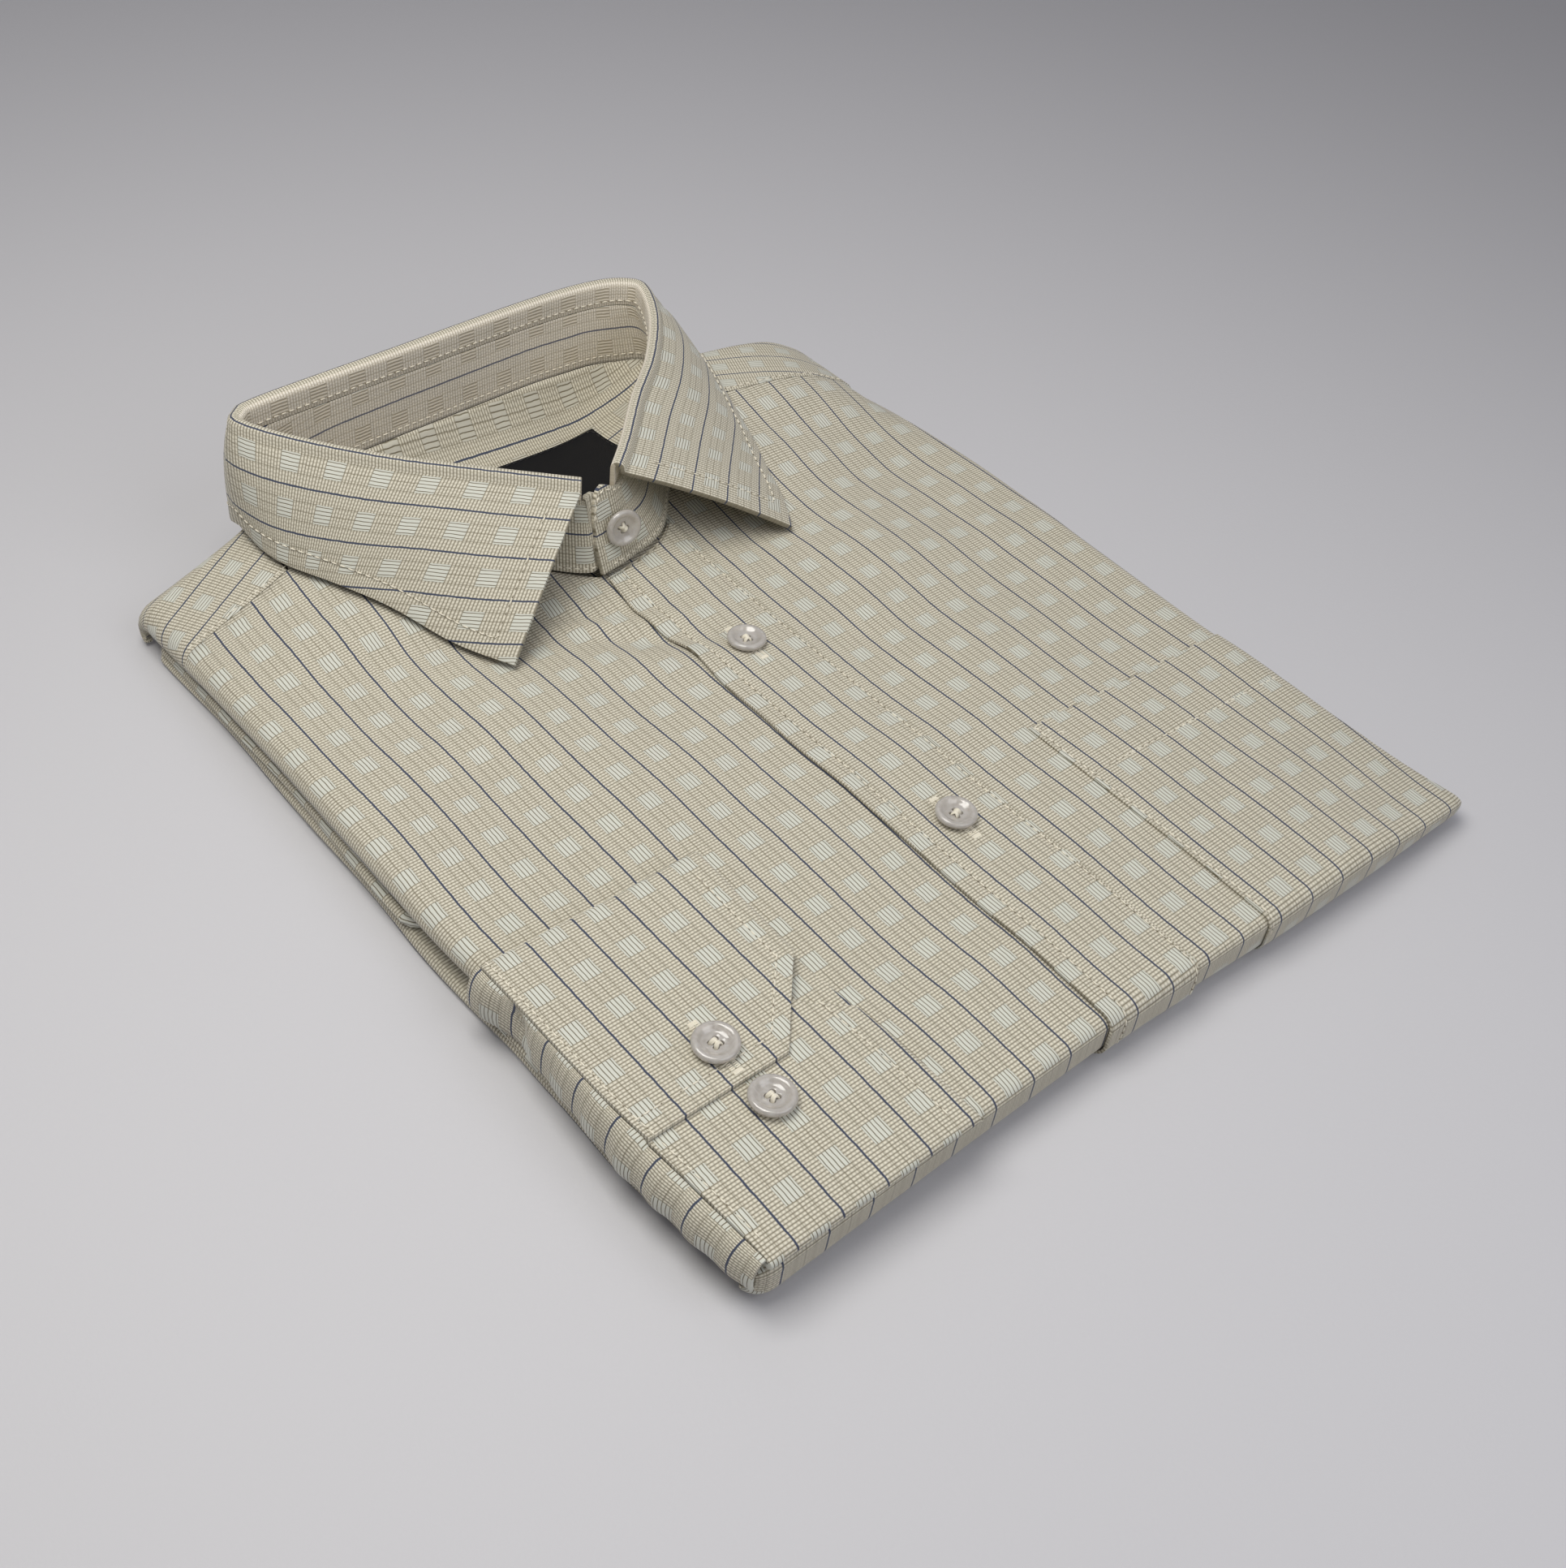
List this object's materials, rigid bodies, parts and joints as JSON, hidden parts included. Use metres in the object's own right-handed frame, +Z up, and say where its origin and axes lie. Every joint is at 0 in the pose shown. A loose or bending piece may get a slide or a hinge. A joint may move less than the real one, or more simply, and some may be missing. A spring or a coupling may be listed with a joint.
{
  "type": "folded formal shirt",
  "caption": "Long-sleeved formal shirt, buttoned, folded flat and lying face up, with a standing collar, a chest pocket and one cuff laid over the front.",
  "frame": {"origin": "centre of the bounding box in plan, on the flat underside that rests on the surface", "axes": "+Y from the bottom fold to the collar, +Z up out of the surface, +X to the wearer's left"},
  "size_m": [0.2702, 0.3078, 0.0591],
  "materials": {
    "shirting": "fine cream dobby shirting with thin navy stripes and small satin squares",
    "black_label": "plain black woven satin label",
    "pearly_button": "polished, slightly clear, pearly off-white"
  },
  "bodies": {
    "root": {"folded_layers": "shirting", "front_right": "shirting", "front_left": "shirting", "placket": "shirting", "pocket": "shirting", "yoke": "shirting", "yoke_inner": "shirting", "collar_stand": "shirting", "collar_leaf": "shirting", "cuff": "shirting", "sleeve": "shirting", "label": "black_label", "button_collar": "pearly_button", "button_front_upper": "pearly_button", "button_front_lower": "pearly_button", "button_cuff_upper": "pearly_button", "button_cuff_lower": "pearly_button"}
  },
  "joints": []
}
